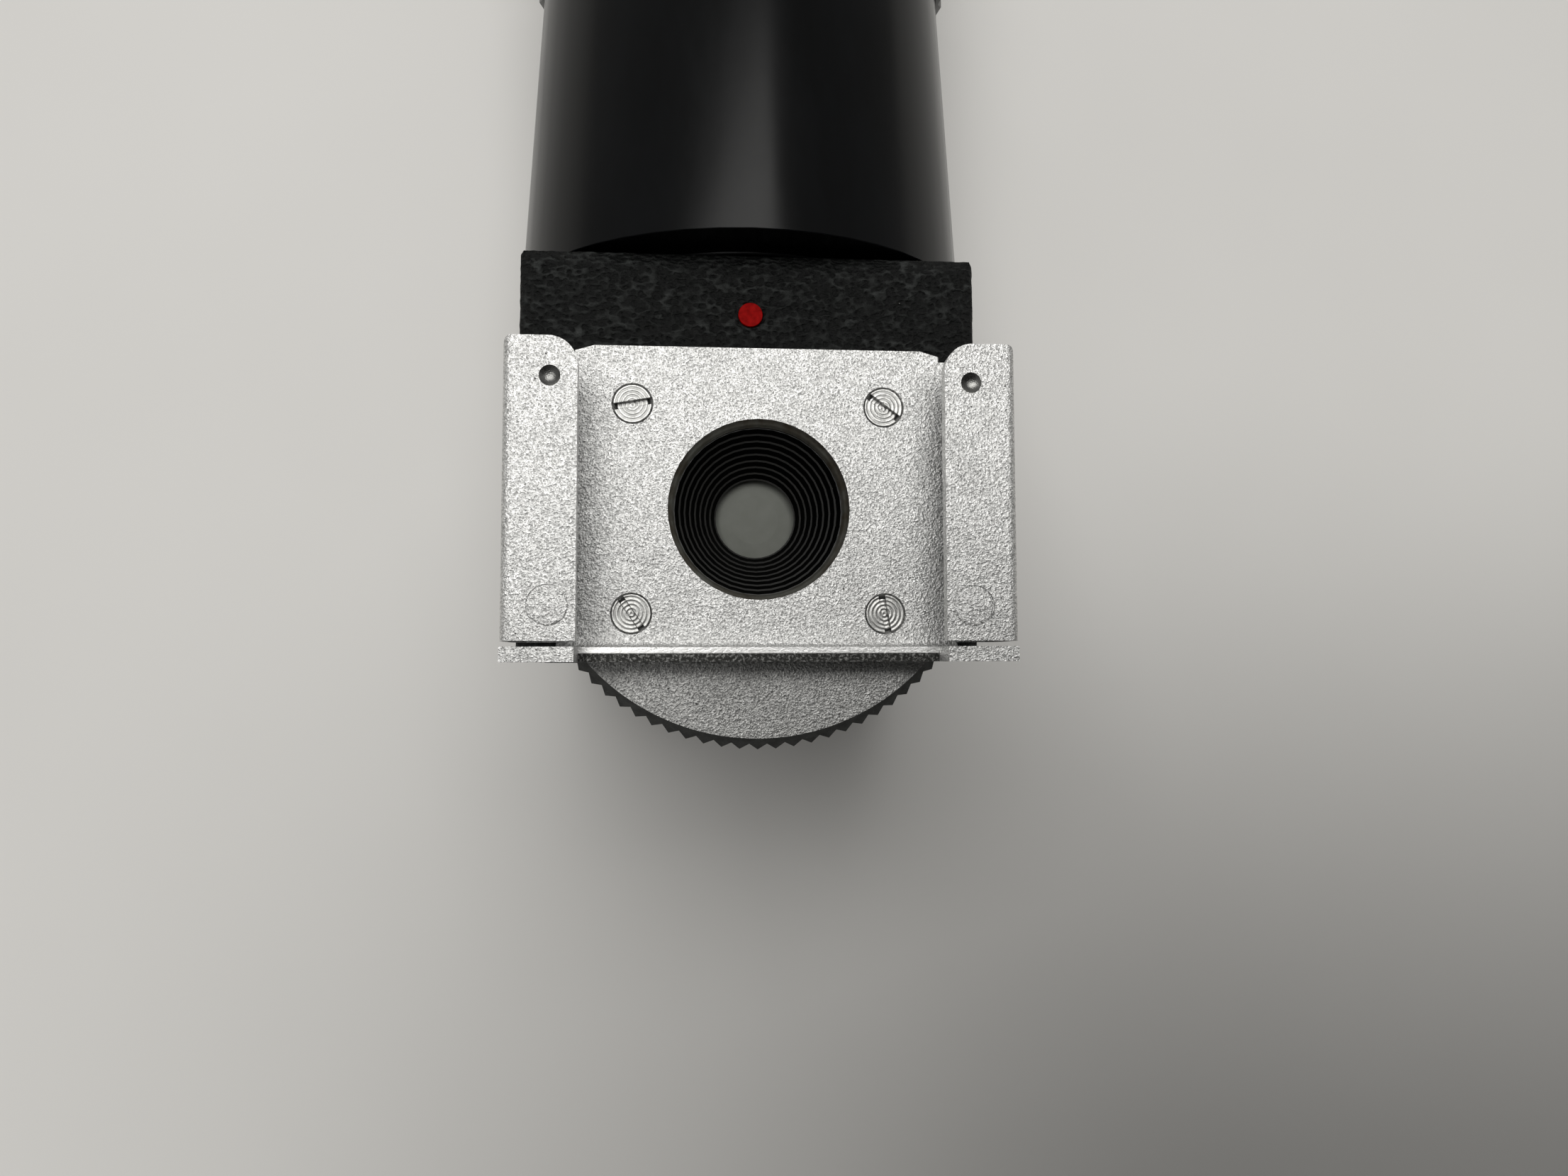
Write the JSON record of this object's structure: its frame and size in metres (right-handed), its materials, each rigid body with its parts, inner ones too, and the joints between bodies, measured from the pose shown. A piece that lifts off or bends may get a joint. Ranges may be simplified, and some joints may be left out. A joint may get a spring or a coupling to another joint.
{
  "type": "right-angle finder scope",
  "caption": "Right-angle finder scope: chromed rail mount on a turning knurled flange, black prism housing and a glossy tapered eyepiece tube with diopter ring and rubber eyecup.",
  "frame": {"origin": "bottom centre of the whole object's bounding box, with the finder lying on its back", "axes": "+Z is the way the mount looks, along the optical axis out of the bore; +Y runs along the eyepiece tube to the eyecup; +X runs across the two rails"},
  "size_m": [0.0376, 0.0838, 0.0484],
  "materials": {
    "satin_chrome": "satin",
    "bright_steel": "bright turned steel",
    "spring_steel": "plain spring steel",
    "brass": "turned brass",
    "black_anodised": "matte",
    "crinkle_black": "matte",
    "gloss_black": "gloss",
    "red_enamel": "satin",
    "optical_glass": "polished",
    "black_rubber": "matte"
  },
  "bodies": {
    "finder_body": {"prism_housing": "crinkle_black", "rear_cover": "crinkle_black", "cover_screw_1": "bright_steel", "cover_screw_2": "bright_steel", "cover_screw_3": "bright_steel", "cover_screw_4": "bright_steel", "roof_prism": "optical_glass", "prism_cradle": "black_anodised", "prism_clamp": "spring_steel", "clamp_screw_1": "bright_steel", "clamp_screw_2": "bright_steel", "index_dot": "red_enamel", "swivel_collar": "black_anodised", "detent_ball_1": "bright_steel", "detent_ball_2": "bright_steel", "detent_spring_1": "spring_steel", "detent_spring_2": "spring_steel", "eyepiece_tube": "gloss_black", "tube_nut": "brass", "field_stop": "black_anodised", "ring_retainer": "black_anodised"},
    "mount_head": {"mount_plate": "satin_chrome", "mount_screw_1": "bright_steel", "mount_screw_2": "bright_steel", "mount_screw_3": "bright_steel", "mount_screw_4": "bright_steel", "knurled_flange": "satin_chrome", "entrance_baffle": "black_anodised", "objective_lens": "optical_glass", "lens_seat_ring": "black_anodised", "hub_nut": "brass", "friction_washer": "spring_steel"},
    "diopter_ring": {"diopter_ring": "gloss_black"},
    "lens_cell": {"lens_cell": "black_anodised", "cam_pin": "bright_steel", "eye_lens_front": "optical_glass", "eye_lens_rear": "optical_glass", "lens_seat": "black_anodised", "lens_spacer": "black_anodised", "lens_retainer": "black_anodised", "eyecup": "black_rubber"}
  },
  "joints": [
    {"name": "mount_swivel", "type": "hinge", "parent": "finder_body", "child": "mount_head", "pos_m": [0, -0.02662, 0.044], "axis": [0, 0, 1], "continuous": true},
    {"name": "diopter_turn", "type": "hinge", "parent": "finder_body", "child": "diopter_ring", "pos_m": [0, 0.02538, 0.0188], "axis": [0, 1, 0], "range_deg": [-60, 60]},
    {"name": "lens_focus", "type": "slide", "parent": "finder_body", "child": "lens_cell", "axis": [0, 1, 0], "range_m": [-0.00121, 0.00121]}
  ],
  "couplings": [
    {"joint": "lens_focus", "follows": "diopter_turn", "m_per_rad": 0.0011459}
  ]
}
